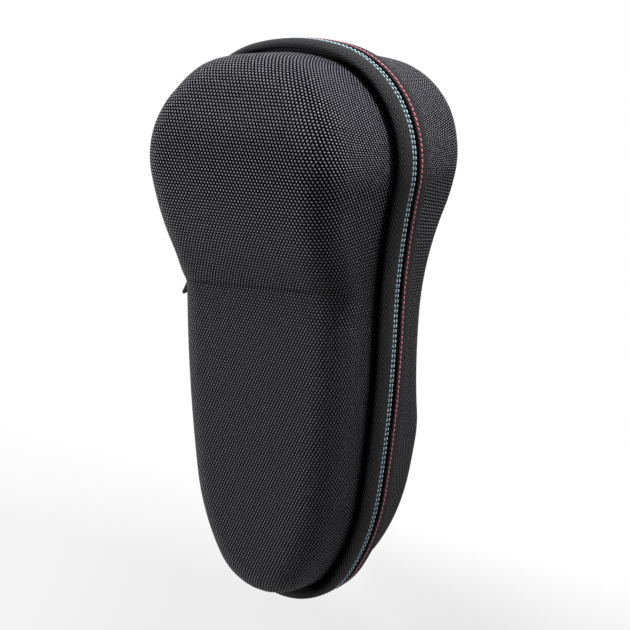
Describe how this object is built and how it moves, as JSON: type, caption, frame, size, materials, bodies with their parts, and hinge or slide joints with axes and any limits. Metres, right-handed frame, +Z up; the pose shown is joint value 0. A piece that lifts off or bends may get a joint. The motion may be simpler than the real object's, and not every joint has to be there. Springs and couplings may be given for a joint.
{
  "type": "electric shaver hard case",
  "caption": "Black zipped clamshell hard case for an electric shaver: wide round head end, slimmer handle end, coloured stitch rows, inner strap and mesh pocket.",
  "frame": {"origin": "centre of the flat rest patch under the head end of the base shell, in the rest plane", "axes": "+Z up from the rest plane, +Y towards the head end, +X to the right seen from above the lid with the head end up, so the cloth hinge and the zip slider are at -X"},
  "size_m": [0.0985, 0.2055, 0.0865],
  "materials": {
    "cover_cloth": "black woven ballistic nylon, matte with a faint sheen",
    "rim_cloth": "black twill binding, matte",
    "foam": "moulded closed-cell EVA foam, matte",
    "lining_cloth": "dark grey brushed lining, matte",
    "zip_tape": "black woven tape, matte",
    "zip_coil": "black nylon coil",
    "teal_thread": "teal sewing thread",
    "red_thread": "coral red sewing thread",
    "black_thread": "black sewing thread",
    "black_metal": "black painted die casting, satin",
    "elastic": "black woven elastic, matte",
    "mesh_cloth": "black knitted mesh",
    "pull_cloth": "black webbing, matte"
  },
  "bodies": {
    "base": {"base_cover": "cover_cloth", "base_foam": "foam", "base_lining": "lining_cloth", "base_band": "rim_cloth", "base_tape": "zip_tape", "base_coil": "zip_coil", "base_stops": "black_metal", "base_thread": "red_thread", "base_piping": "lining_cloth", "base_hinge": "rim_cloth", "shaver_strap": "elastic", "strap_patches": "lining_cloth", "strap_tacks": "black_thread"},
    "lid": {"lid_cover": "cover_cloth", "lid_foam": "foam", "lid_lining": "lining_cloth", "lid_band": "rim_cloth", "lid_tape": "zip_tape", "lid_coil": "zip_coil", "lid_stops": "black_metal", "lid_inner_thread": "teal_thread", "lid_outer_thread": "teal_thread", "lid_piping": "lining_cloth", "lid_hinge": "rim_cloth", "mesh_pocket": "mesh_cloth", "pocket_hem": "elastic", "pocket_thread_row": "black_thread"},
    "slider": {"zip_slider": "black_metal"},
    "pull": {"pull_eyelet": "black_metal", "pull_tab": "pull_cloth"}
  },
  "joints": [
    {"name": "lid_fold", "type": "hinge", "parent": "base", "child": "lid", "pos_m": [-0.0494, -0.01138, 0.04427], "axis": [0, -0.9971, -0.0757], "range_deg": [0, 165]},
    {"name": "slider_run", "type": "hinge", "parent": "base", "child": "slider", "pos_m": [-0.30265, -0.07141, 0.03971], "axis": [0, 0.0757, -0.9971], "range_deg": [0, 5]},
    {"name": "tab_swing", "type": "hinge", "parent": "slider", "child": "pull", "pos_m": [-0.04723, -0.04412, 0.03962], "axis": [1, 0, 0], "range_deg": [0, 75]}
  ]
}
